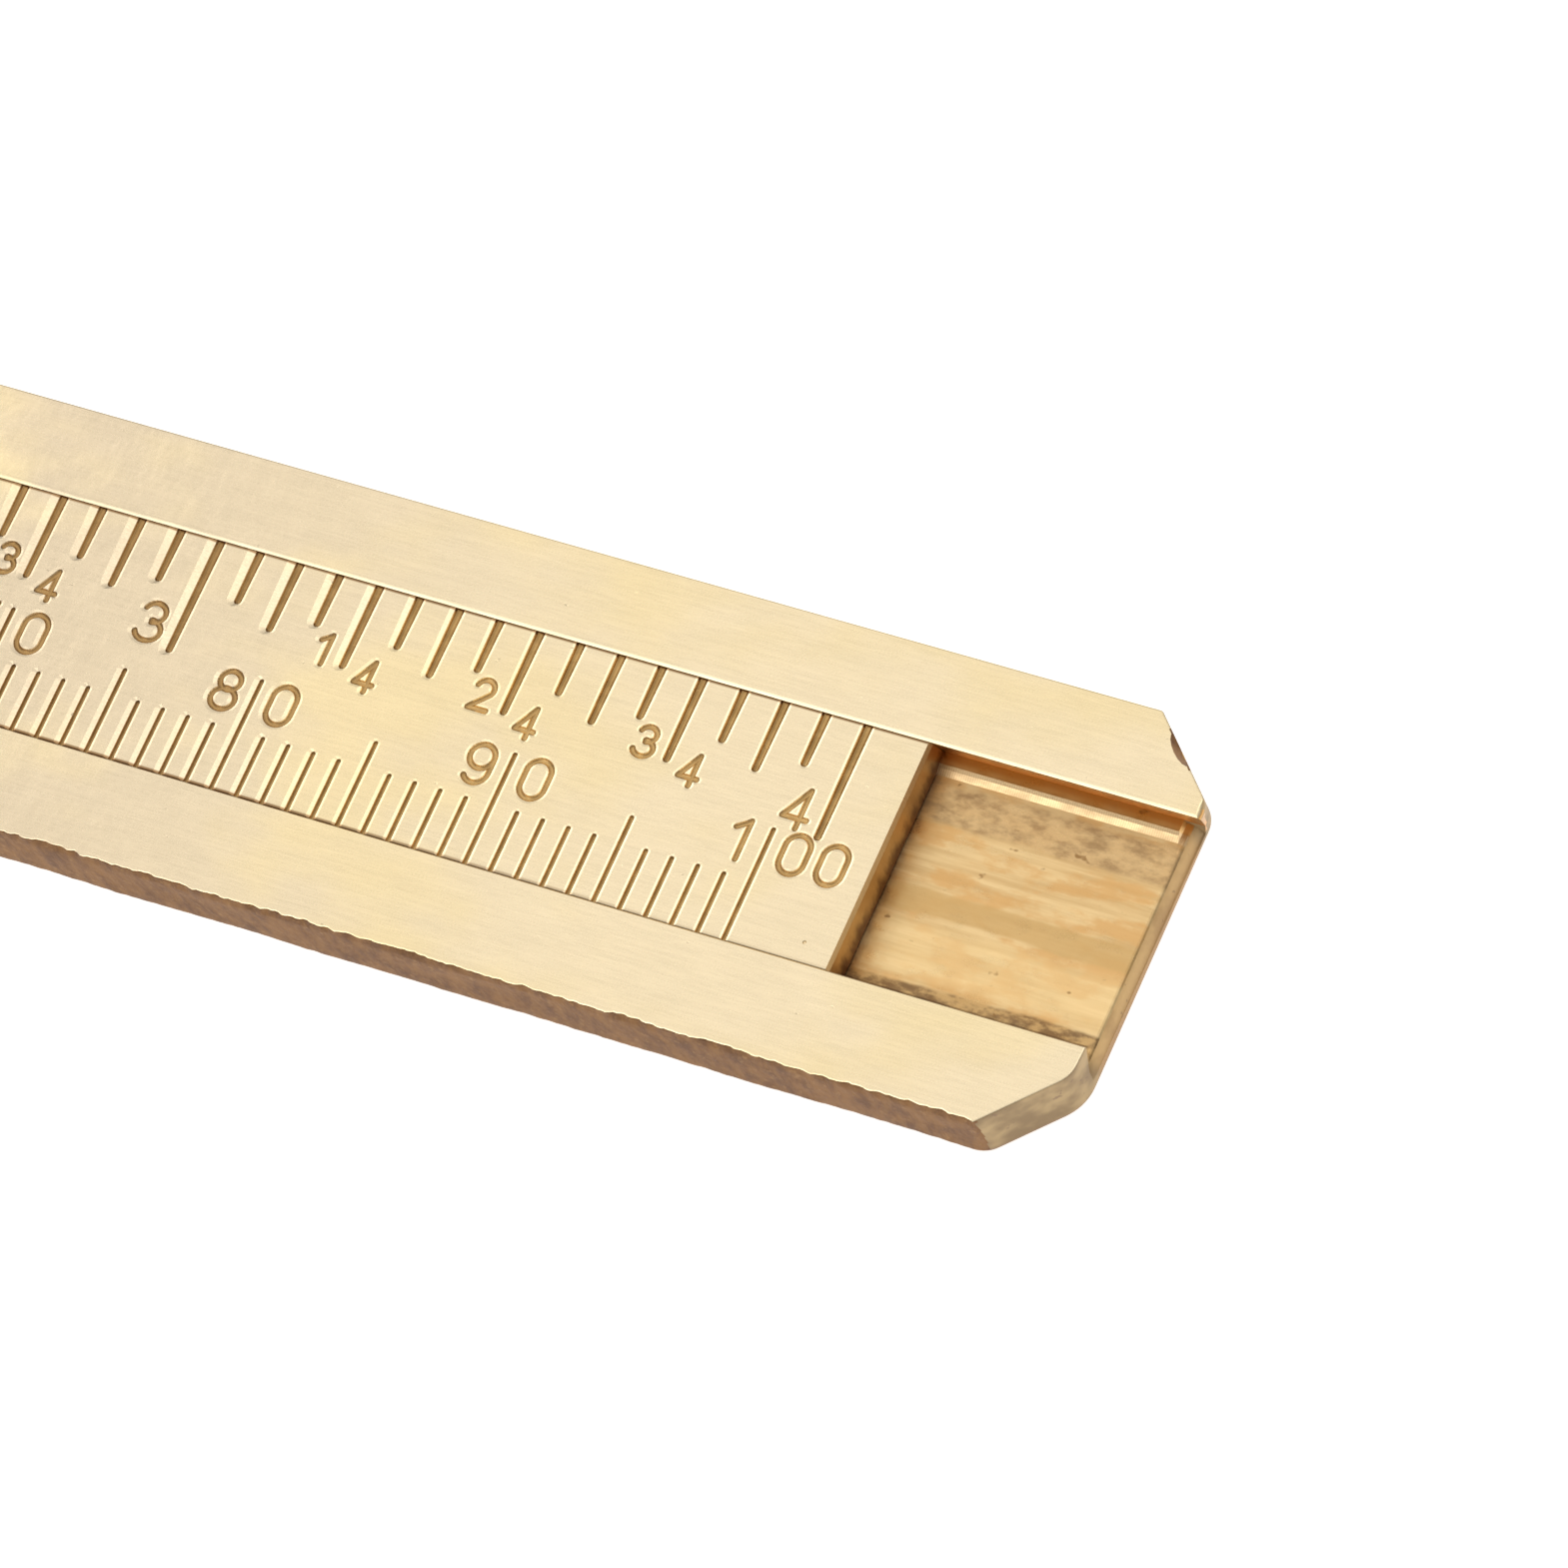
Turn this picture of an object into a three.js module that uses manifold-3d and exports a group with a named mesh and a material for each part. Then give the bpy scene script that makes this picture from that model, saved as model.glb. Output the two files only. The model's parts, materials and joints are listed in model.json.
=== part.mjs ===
// A brass pocket slide caliper, 0 to 100 mm and 0 to 4 inches, shown closed.
// Millimetres. +X runs along the body towards its tail, +Y across it, +Z out of the graduated face.
// The origin lies on the flat back, on the body's centre line, straight under the zero graduation,
// so x in millimetres is what the scale reads at that place while the jaws are closed.
import * as THREE from "three";
import { mergeVertices } from "three/addons/utils/BufferGeometryUtils.js";
import Module from "manifold-3d";

const wasm = await Module();
wasm.setup();

// Body
const THICKNESS = 2.6;
const HALF_WIDTH = 8.1;
const BEAM_LEFT = -5;
const BEAM_RIGHT = 113.65;
const UPPER_CHAMFER = 2.4;
const LOWER_CHAMFER = 2.6;

// Channel: a dovetail slot, open at the top face and at both ends of the body
const MOUTH_LOW = -4.35;
const MOUTH_HIGH = 4.65;
const UNDERCUT = 0.4;
const FLOOR = 1.1;

// Slide
const RUNNING_GAP = 0.05;
const SLIDE_RIGHT = 104;
const TRAVEL = 100;

// Jaws
const HEAD_LENGTH = 9.5;
const HEAD_RIGHT = BEAM_LEFT - RUNNING_GAP;
const HEAD_LEFT = HEAD_RIGHT - HEAD_LENGTH;
const END_WALL = 1;
const SLIDE_LEFT = HEAD_LEFT + END_WALL + RUNNING_GAP;
const JAW_TIP = -30;
const JAW_FOOT = 14;
const NIB_WIDTH = 2.5;
const NIB_LENGTH = 5;
const NIB_CROWN = 0.35;
const BLADE_HOLLOW = 0.3;
const FOOT_EDGE = 1.2;
const HEAD_CORNER = 1.6;
const SERRATIONS = 6;
const SERRATION_PITCH = 1.5;
const SERRATION_DEPTH = 0.5;

// Tongue of the fixed jaw, in a rebate in the back of the lower rail
const TONGUE_TOP = 1;
const TONGUE_REACH = 2.5;

// Rivets and pins
const SEAT_GAP = 0.04;
const RIVET_RADIUS = 0.7;
const RIVET_HEAD = 0.95;
const HEAD_DEPTH = 0.35;
const ROUND_SEGMENTS = 32;
const JAW_RIVETS = [[-2.6, -6.8], [7.6, -6.8]];
const SLIDE_RIVETS = [[-11.6, -2.3], [-7.4, 2.3]];
const STOP_PIN = { x: 0, y: -2.5, radius: 0.8, top: 1.75 };
const STOP_CLEARANCE = 0.2;

// Friction spring, in a pocket under the slide's tail end
const POCKET = { left: 95.4, right: 103.2, low: 1.6, high: 3.4, roof: 1.95 };
const LEAF = { left: 95.8, bend: 100.4, right: 102.8, width: 1.5, thick: 0.15 };
const SPRING_RIVET = { x: 101.7, radius: 0.35, head: 0.6, headDepth: 0.15, top: 2.3 };

// A cut goes this far past the faces it opens.
const PAST = 1;

// ---- geometry helpers ----

function solid(geometry) {
  const bare = geometry.clone();
  bare.deleteAttribute("normal");
  bare.deleteAttribute("uv");
  const merged = mergeVertices(bare, 1e-4);
  const vertProperties = new Float32Array(merged.attributes.position.array);
  const triVerts = new Uint32Array(wholeTriangles(merged.index.array));
  return new wasm.Manifold(new wasm.Mesh({ numProp: 3, vertProperties, triVerts }));
}

// A lathe leaves triangles of no area on its axis; they are dropped.
function wholeTriangles(index) {
  const kept = [];
  for (let start = 0; start < index.length; start += 3) {
    const [a, b, c] = index.slice(start, start + 3);
    if (a !== b && b !== c && c !== a) {
      kept.push(a, b, c);
    }
  }
  return kept;
}

function geometryOf(body) {
  const mesh = body.getMesh();
  const geometry = new THREE.BufferGeometry();
  geometry.setAttribute("position", new THREE.BufferAttribute(mesh.vertProperties, mesh.numProp));
  geometry.setIndex(new THREE.BufferAttribute(mesh.triVerts, 1));
  geometry.computeVertexNormals();
  return geometry;
}

// A plan outline in X and Y, raised from z = low to z = high.
function plate(outline, low, high) {
  const geometry = new THREE.ExtrudeGeometry(outline, {
    depth: high - low,
    bevelEnabled: false,
    curveSegments: 10,
  });
  return geometry.translate(0, 0, low);
}

// A section in Y and Z, drawn out from x = left to x = right.
function bar(section, left, right) {
  const geometry = new THREE.ExtrudeGeometry(section, { depth: right - left, bevelEnabled: false });
  const turn = new THREE.Matrix4().makeBasis(
    new THREE.Vector3(0, 1, 0),
    new THREE.Vector3(0, 0, 1),
    new THREE.Vector3(1, 0, 0),
  );
  return geometry.applyMatrix4(turn).translate(left, 0, 0);
}

function box(left, right, low, high, bottom, top) {
  const geometry = new THREE.BoxGeometry(right - left, high - low, top - bottom);
  return geometry.translate((left + right) / 2, (low + high) / 2, (bottom + top) / 2);
}

// A turned piece on a vertical axis through (x, y); the profile is a list of [radius, z].
function turned(profile, x, y) {
  const points = profile.map(([radius, z]) => new THREE.Vector2(radius, z));
  const geometry = new THREE.LatheGeometry(points, ROUND_SEGMENTS);
  return geometry.rotateX(Math.PI / 2).translate(x, y, 0);
}

function outlineOf(points) {
  return new THREE.Shape(points.map(([x, y]) => new THREE.Vector2(x, y)));
}

// ---- shared shapes ----

// The dovetail section of the channel, or of the slide that fills it with a gap all round. Its
// walls spread by UNDERCUT on their way down from the mouth to the channel's floor.
function channelSection(gap, top) {
  const spread = (z) => (UNDERCUT * (THICKNESS - z)) / (THICKNESS - FLOOR);
  const low = MOUTH_LOW + gap;
  const high = MOUTH_HIGH - gap;
  const floor = FLOOR + gap;
  return outlineOf([
    [low - spread(floor), floor],
    [high + spread(floor), floor],
    [high + spread(top), top],
    [low - spread(top), top],
  ]);
}

// A flush rivet with a countersunk head at each face. The hole that it sits in is grown by a gap,
// and its countersinks run on past the faces.
function rivetShape([x, y], grow) {
  const past = grow > 0 ? PAST : 0;
  const shank = RIVET_RADIUS + grow;
  const head = RIVET_HEAD + grow + (past * (RIVET_HEAD - RIVET_RADIUS)) / HEAD_DEPTH;
  const profile = [
    [0, -past],
    [head, -past],
    [shank, HEAD_DEPTH],
    [shank, THICKNESS - HEAD_DEPTH],
    [head, THICKNESS + past],
    [0, THICKNESS + past],
  ];
  return turned(profile, x, y);
}

function pinShape({ x, y, radius, top }, grow) {
  const past = grow > 0 ? PAST : 0;
  return turned([[0, -past], [radius + grow, -past], [radius + grow, top], [0, top]], x, y);
}

function cutAll(body, tools) {
  return tools.reduce((left, tool) => left.subtract(solid(tool)), body);
}

// ---- the pieces ----

function beam() {
  const plan = outlineOf([
    [BEAM_LEFT, -HALF_WIDTH],
    [BEAM_RIGHT - LOWER_CHAMFER, -HALF_WIDTH],
    [BEAM_RIGHT, -HALF_WIDTH + LOWER_CHAMFER],
    [BEAM_RIGHT, HALF_WIDTH - UPPER_CHAMFER],
    [BEAM_RIGHT - UPPER_CHAMFER, HALF_WIDTH],
    [BEAM_LEFT, HALF_WIDTH],
  ]);
  const channel = bar(channelSection(0, THICKNESS + PAST), BEAM_LEFT - PAST, BEAM_RIGHT + PAST);
  const rebate = box(
    BEAM_LEFT - PAST,
    BEAM_LEFT + JAW_FOOT + RUNNING_GAP,
    -HALF_WIDTH - PAST,
    -HALF_WIDTH + TONGUE_REACH,
    -PAST,
    TONGUE_TOP,
  );
  const holes = JAW_RIVETS.map((place) => rivetShape(place, SEAT_GAP));
  const pinHole = pinShape(STOP_PIN, SEAT_GAP);
  return geometryOf(cutAll(solid(plate(plan, 0, THICKNESS)), [channel, rebate, ...holes, pinHole]));
}

// Draws a jaw's blade on from the back corner of its foot, down to the nib at its tip and up the
// measuring face. towards is +1 where the jaw's back lies at +X of its face, and -1 where at -X.
function drawBlade(outline, face, towards, foot, top) {
  const nibBack = face + towards * NIB_WIDTH;
  const nibTop = JAW_TIP + NIB_LENGTH;
  const curveTop = top - FOOT_EDGE;
  outline.lineTo(face + towards * foot, curveTop);
  outline.quadraticCurveTo(
    nibBack + towards * BLADE_HOLLOW * (foot - NIB_WIDTH),
    curveTop - BLADE_HOLLOW * (curveTop - nibTop),
    nibBack,
    nibTop,
  );
  outline.lineTo(nibBack, JAW_TIP + NIB_CROWN);
  outline.quadraticCurveTo(nibBack, JAW_TIP, nibBack - towards * NIB_CROWN, JAW_TIP);
  outline.lineTo(face + towards * NIB_CROWN, JAW_TIP);
  outline.quadraticCurveTo(face, JAW_TIP, face, JAW_TIP + NIB_CROWN);
  outline.lineTo(face, top);
}

function fixedJaw() {
  const top = -HALF_WIDTH - RUNNING_GAP;
  const outline = new THREE.Shape();
  outline.moveTo(BEAM_LEFT + JAW_FOOT, top);
  drawBlade(outline, BEAM_LEFT, 1, JAW_FOOT, top);
  const tongue = box(
    BEAM_LEFT,
    BEAM_LEFT + JAW_FOOT,
    top - PAST,
    -HALF_WIDTH + TONGUE_REACH - RUNNING_GAP,
    0,
    TONGUE_TOP - RUNNING_GAP,
  );
  const blade = solid(plate(outline, 0, THICKNESS));
  const holes = JAW_RIVETS.map((place) => rivetShape(place, SEAT_GAP));
  return geometryOf(cutAll(blade.add(solid(tongue)), holes));
}

// The head's outline: a rounded upper corner, a serrated thumb edge and the blade.
function headOutline() {
  const outline = new THREE.Shape();
  const serrationsLow = -(SERRATIONS * SERRATION_PITCH) / 2;
  outline.moveTo(HEAD_RIGHT, HALF_WIDTH);
  outline.lineTo(HEAD_LEFT + HEAD_CORNER, HALF_WIDTH);
  outline.quadraticCurveTo(HEAD_LEFT, HALF_WIDTH, HEAD_LEFT, HALF_WIDTH - HEAD_CORNER);
  for (let notch = SERRATIONS - 1; notch >= 0; notch -= 1) {
    const low = serrationsLow + notch * SERRATION_PITCH;
    outline.lineTo(HEAD_LEFT, low + SERRATION_PITCH);
    outline.lineTo(HEAD_LEFT + SERRATION_DEPTH, low + SERRATION_PITCH / 2);
  }
  outline.lineTo(HEAD_LEFT, serrationsLow);
  outline.lineTo(HEAD_LEFT, -HALF_WIDTH);
  drawBlade(outline, HEAD_RIGHT, -1, HEAD_LENGTH, -HALF_WIDTH);
  return outline;
}

function slidingJaw() {
  const blank = solid(plate(headOutline(), 0, THICKNESS));
  const slot = bar(channelSection(0, THICKNESS + PAST), HEAD_LEFT + END_WALL, HEAD_RIGHT + PAST);
  const holes = SLIDE_RIVETS.map((place) => rivetShape(place, SEAT_GAP));
  return geometryOf(cutAll(blank, [slot, ...holes]));
}

function slideBar() {
  const blank = solid(bar(channelSection(RUNNING_GAP, THICKNESS), SLIDE_LEFT, SLIDE_RIGHT));
  const reach = STOP_PIN.radius + STOP_CLEARANCE;
  const stopGroove = box(
    STOP_PIN.x - reach,
    STOP_PIN.x + TRAVEL + reach,
    STOP_PIN.y - reach,
    STOP_PIN.y + reach,
    FLOOR - PAST,
    STOP_PIN.top + STOP_CLEARANCE,
  );
  const pocket = box(
    POCKET.left,
    POCKET.right,
    POCKET.low,
    POCKET.high,
    FLOOR - PAST,
    POCKET.roof,
  );
  const springHole = springRivetShape(SEAT_GAP);
  const rivetHoles = SLIDE_RIVETS.map((place) => rivetShape(place, SEAT_GAP));
  return geometryOf(cutAll(blank, [stopGroove, pocket, springHole, ...rivetHoles]));
}

// The leaf: a flat tab under the pocket's roof, then a bow that reaches down to the channel floor.
function frictionSpring() {
  const tabTop = POCKET.roof - SEAT_GAP;
  const tabLow = tabTop - LEAF.thick;
  const middle = (LEAF.left + LEAF.bend) / 2;
  const apex = FLOOR + SEAT_GAP;
  const bowLow = 2 * apex - tabLow;
  const bowHigh = 2 * (apex + LEAF.thick) - tabTop;
  const side = new THREE.Shape();
  side.moveTo(LEAF.right, tabTop);
  side.lineTo(LEAF.bend, tabTop);
  side.quadraticCurveTo(middle, bowHigh, LEAF.left, tabTop);
  side.lineTo(LEAF.left, tabLow);
  side.quadraticCurveTo(middle, bowLow, LEAF.bend, tabLow);
  side.lineTo(LEAF.right, tabLow);
  const geometry = new THREE.ExtrudeGeometry(side, {
    depth: LEAF.width,
    bevelEnabled: false,
    curveSegments: 10,
  });
  const centre = (POCKET.low + POCKET.high) / 2;
  const leaf = solid(geometry.rotateX(Math.PI / 2).translate(0, centre + LEAF.width / 2, 0));
  return geometryOf(leaf.subtract(solid(springRivetShape(SEAT_GAP))));
}

function springRivetShape(grow) {
  const { x, radius, head, headDepth, top } = SPRING_RIVET;
  const seat = POCKET.roof - SEAT_GAP - LEAF.thick;
  return turned(
    [
      [0, seat - headDepth - grow],
      [head + grow, seat - headDepth - grow],
      [head + grow, seat - SEAT_GAP + grow],
      [radius + grow, seat - SEAT_GAP + grow],
      [radius + grow, top + grow],
      [0, top + grow],
    ],
    x,
    (POCKET.low + POCKET.high) / 2,
  );
}

// ---- assembly ----

const BRASS = { color: 0xe6c98f, roughness: 0.35, metalness: 1 };
const RIVET_BRASS = { color: 0xd9b878, roughness: 0.3, metalness: 1 };
const BRONZE = { color: 0xb98a55, roughness: 0.35, metalness: 1 };
const STEEL = { color: 0xb9bcc0, roughness: 0.3, metalness: 1 };

const body = new THREE.Group();
const slide = new THREE.Group();

function addPiece(parent, name, geometry, look) {
  const mesh = new THREE.Mesh(geometry, new THREE.MeshStandardMaterial(look));
  mesh.name = name;
  parent.add(mesh);
}

addPiece(body, "beam", beam(), BRASS);
addPiece(body, "fixed_jaw", fixedJaw(), BRASS);
JAW_RIVETS.forEach((place, count) => {
  addPiece(body, `fixed_jaw_rivet_${count + 1}`, geometryOf(solid(rivetShape(place, 0))), RIVET_BRASS);
});
addPiece(body, "stop_pin", geometryOf(solid(pinShape(STOP_PIN, 0))), STEEL);

addPiece(slide, "slide_bar", slideBar(), BRASS);
addPiece(slide, "sliding_jaw", slidingJaw(), BRASS);
SLIDE_RIVETS.forEach((place, count) => {
  addPiece(slide, `slide_rivet_${count + 1}`, geometryOf(solid(rivetShape(place, 0))), RIVET_BRASS);
});
addPiece(slide, "friction_spring", frictionSpring(), BRONZE);
addPiece(slide, "spring_rivet", geometryOf(solid(springRivetShape(0))), RIVET_BRASS);

const group = new THREE.Group();
group.add(body, slide);

export default group;
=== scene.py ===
"""A brass pocket slide caliper: the looks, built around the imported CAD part.

Shapes are worked out in millimetres in the part's own frame: x is the scale's reading, y runs
across the body and z out of the graduated face. Each mesh is turned into metres when it is made.
"""

import json
import math

import bpy
from mathutils import Matrix, Vector, noise


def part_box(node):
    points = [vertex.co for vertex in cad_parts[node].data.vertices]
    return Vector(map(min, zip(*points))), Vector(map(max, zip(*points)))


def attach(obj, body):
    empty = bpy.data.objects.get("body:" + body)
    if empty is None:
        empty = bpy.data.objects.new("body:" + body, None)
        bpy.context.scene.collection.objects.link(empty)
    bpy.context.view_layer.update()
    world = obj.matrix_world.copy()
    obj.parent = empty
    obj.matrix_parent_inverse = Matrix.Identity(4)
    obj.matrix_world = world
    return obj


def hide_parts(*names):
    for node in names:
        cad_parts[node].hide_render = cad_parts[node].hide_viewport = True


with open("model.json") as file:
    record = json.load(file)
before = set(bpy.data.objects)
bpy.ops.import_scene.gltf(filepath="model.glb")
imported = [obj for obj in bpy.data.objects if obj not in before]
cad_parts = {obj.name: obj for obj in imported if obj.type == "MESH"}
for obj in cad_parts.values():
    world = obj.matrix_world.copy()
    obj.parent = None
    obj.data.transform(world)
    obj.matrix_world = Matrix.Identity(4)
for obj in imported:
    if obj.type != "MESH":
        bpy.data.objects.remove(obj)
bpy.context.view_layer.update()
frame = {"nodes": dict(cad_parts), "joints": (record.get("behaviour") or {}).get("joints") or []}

MM = 0.001
INCH = 25.4


# ---- dimensions, in millimetres, read from the frame where it holds them ----

def box_mm(node):
    low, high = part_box(node)
    return low / MM, high / MM


BEAM_LOW, BEAM_HIGH = box_mm("beam")
BAR_LOW, BAR_HIGH = box_mm("slide_bar")
FIXED_LOW, FIXED_HIGH = box_mm("fixed_jaw")
HEAD_LOW, HEAD_HIGH = box_mm("sliding_jaw")
PIN_LOW, PIN_HIGH = box_mm("stop_pin")
LEAF_LOW, LEAF_HIGH = box_mm("friction_spring")

TOP = BEAM_HIGH.z
HALF_WIDTH = BEAM_HIGH.y
GAP = 0.05
UNDERCUT = 0.4
FLOOR = BAR_LOW.z - GAP
LEAN = UNDERCUT / (TOP - FLOOR)
MOUTH_LOW = BAR_LOW.y - GAP + LEAN * (TOP - BAR_LOW.z)
MOUTH_HIGH = BAR_HIGH.y + GAP - LEAN * (TOP - BAR_LOW.z)
UPPER_CHAMFER = 2.4
LOWER_CHAMFER = 2.6
PAST = 1.0

# The ramp up from the channel's floor to the track by its upper wall, as (y, z) points.
RAMP_RISE = 0.16
RAMP = [(4.02, FLOOR), (4.18, FLOOR + 0.012), (4.42, FLOOR + 0.088), (4.55, FLOOR + RAMP_RISE)]
FEED_PITCH = 0.085


# ---- mesh building ----

def smooth_step(value, low, high):
    t = min(1.0, max(0.0, (value - low) / (high - low)))
    return t * t * (3 - 2 * t)


def new_piece(name, verts, faces):
    """An object from points in millimetres; it stays in millimetres until finish_piece."""
    mesh = bpy.data.meshes.new(name)
    mesh.from_pydata([tuple(v) for v in verts], [], faces)
    piece = bpy.data.objects.new(name, mesh)
    bpy.context.scene.collection.objects.link(piece)
    return piece


def merged(solids):
    """Joins (verts, faces) solids that don't touch into one list of points and faces."""
    verts, faces = [], []
    for solid_verts, solid_faces in solids:
        start = len(verts)
        verts.extend(solid_verts)
        faces.extend([tuple(start + i for i in face) for face in solid_faces])
    return verts, faces


def loft(rings):
    """A closed solid through rings of equally many points, the first at the bottom, each
    running anticlockwise as seen from above."""
    count = len(rings[0])
    verts = [point for ring in rings for point in ring]
    faces = [tuple(reversed(range(count)))]
    for level in range(len(rings) - 1):
        low, high = level * count, (level + 1) * count
        for i in range(count):
            j = (i + 1) % count
            faces.append((low + i, low + j, high + j, high + i))
    top = (len(rings) - 1) * count
    faces.append(tuple(range(top, top + count)))
    return verts, faces


def outward_normals(outline):
    """The mitre direction at each corner of an anticlockwise outline, scaled so that moving a
    corner by it moves both edges by one."""
    normals = []
    for i, here in enumerate(outline):
        before, after = outline[i - 1], outline[(i + 1) % len(outline)]
        first = Vector((here[1] - before[1], before[0] - here[0])).normalized()
        second = Vector((after[1] - here[1], here[0] - after[0])).normalized()
        mitre = (first + second).normalized()
        normals.append(mitre / max(0.5, mitre.dot(first)))
    return normals


def rounded(corners, steps=9):
    """An outline from (x, y, radius) corners, each turned into an arc-like curve."""
    outline = []
    for i, (x, y, radius) in enumerate(corners):
        here = Vector((x, y))
        before = Vector(corners[i - 1][:2])
        after = Vector(corners[(i + 1) % len(corners)][:2])
        to_before = (before - here).normalized()
        to_after = (after - here).normalized()
        half = to_before.angle(to_after) / 2
        setback = radius / math.tan(half)
        start, end = here + to_before * setback, here + to_after * setback
        for step in range(steps + 1):
            t = step / steps
            outline.append(start * (1 - t) ** 2 + here * 2 * t * (1 - t) + end * t * t)
    return outline


def divided(outline, like, pitch):
    """The outline with each edge cut into as many parts as makes about pitch on another one."""
    points = []
    for i, here in enumerate(outline):
        j = (i + 1) % len(outline)
        parts = max(1, round((like[j] - like[i]).length / pitch))
        points.extend(here.lerp(outline[j], part / parts) for part in range(parts))
    return points


def plate(back, face, levels, inset_at):
    """A plate whose outline goes over from one at its back to one at its face, with its heights.
    inset_at gives how far the edge lies inside at a point, with its outward direction."""
    rings = []
    for z in levels:
        ring = []
        outline = [low.lerp(high, z / TOP) for low, high in zip(back, face)]
        for point, normal in zip(outline, outward_normals(outline)):
            moved = point - normal * inset_at(point, normal, z)
            ring.append((moved.x, moved.y, z))
        rings.append(ring)
    return loft(rings)


def round_inset(z, back, face):
    """How far a plate's edge lies inside its outline where back and face edges are rounded."""
    reach = max(back - z, 0.0) / back
    if z > TOP - face:
        return face * (1 - math.sqrt(max(0.0, 1 - ((z - TOP + face) / face) ** 2)))
    return back * (1 - math.sqrt(1 - reach ** 2))


def prism(section, left, right):
    """A bar of one (y, z) section from x = left to x = right."""
    area = sum(a[0] * b[1] - b[0] * a[1] for a, b in zip(section, section[1:] + section[:1]))
    turned_section = section if area > 0 else section[::-1]
    return loft([[(x, y, z) for y, z in turned_section] for x in (left, right)])


def crossbar(section, low, high):
    """A bar of one (x, z) section from y = low to y = high. The section runs anticlockwise as
    seen from the lower end."""
    return loft([[(x, y, z) for x, z in reversed(section)] for y in (low, high)])


def slab(low, high):
    """A box between two corners."""
    section = [(low[1], low[2]), (high[1], low[2]), (high[1], high[2]), (low[1], high[2])]
    return prism(section, low[0], high[0])


def turned(profile, x, y, segments=48):
    """A turned solid on a vertical axis from (radius, z) points, the lowest first."""
    rings = []
    for radius, z in profile:
        ring = []
        for step in range(segments):
            angle = 2 * math.pi * step / segments
            ring.append((x + radius * math.cos(angle), y + radius * math.sin(angle), z))
        rings.append(ring)
    return loft(rings)


def apply_booleans(piece, operation, others):
    """Applies one boolean for each other object, in their order, and removes those objects."""
    for other in others:
        modifier = piece.modifiers.new("boolean", "BOOLEAN")
        modifier.operation = operation
        modifier.solver = "MANIFOLD"
        modifier.object = other
    depsgraph = bpy.context.evaluated_depsgraph_get()
    mesh = bpy.data.meshes.new_from_object(piece.evaluated_get(depsgraph))
    piece.modifiers.clear()
    piece.data = mesh
    for other in others:
        bpy.data.objects.remove(other)


def cut(piece, *passes):
    """Cuts each pass of solids out of the piece. Solids that touch each other go in
    different passes."""
    cutters = []
    for number, solids in enumerate(passes):
        cutters.append(new_piece(f"cutter_{number}", *merged(solids)))
    apply_booleans(piece, "DIFFERENCE", cutters)


def finish_piece(piece, body, materials, choose=None, replaces=(), smooth=10):
    """Turns the piece into metres, gives each face its material and puts it on its body.
    choose takes a face's centre and normal in millimetres and gives a place in materials."""
    piece.data.materials.clear()
    for material in materials:
        piece.data.materials.append(material)
    if choose:
        for face in piece.data.polygons:
            face.material_index = choose(face.center, face.normal)
    piece.data.transform(Matrix.Scale(MM, 4))
    piece.data.shade_smooth()
    piece.data.set_sharp_from_angle(angle=math.radians(smooth))
    weighted = piece.modifiers.new("flat_faces_flat", "WEIGHTED_NORMAL")
    weighted.keep_sharp = True
    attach(piece, body)
    if replaces:
        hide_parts(*replaces)
    return piece


# ---- materials ----

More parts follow.
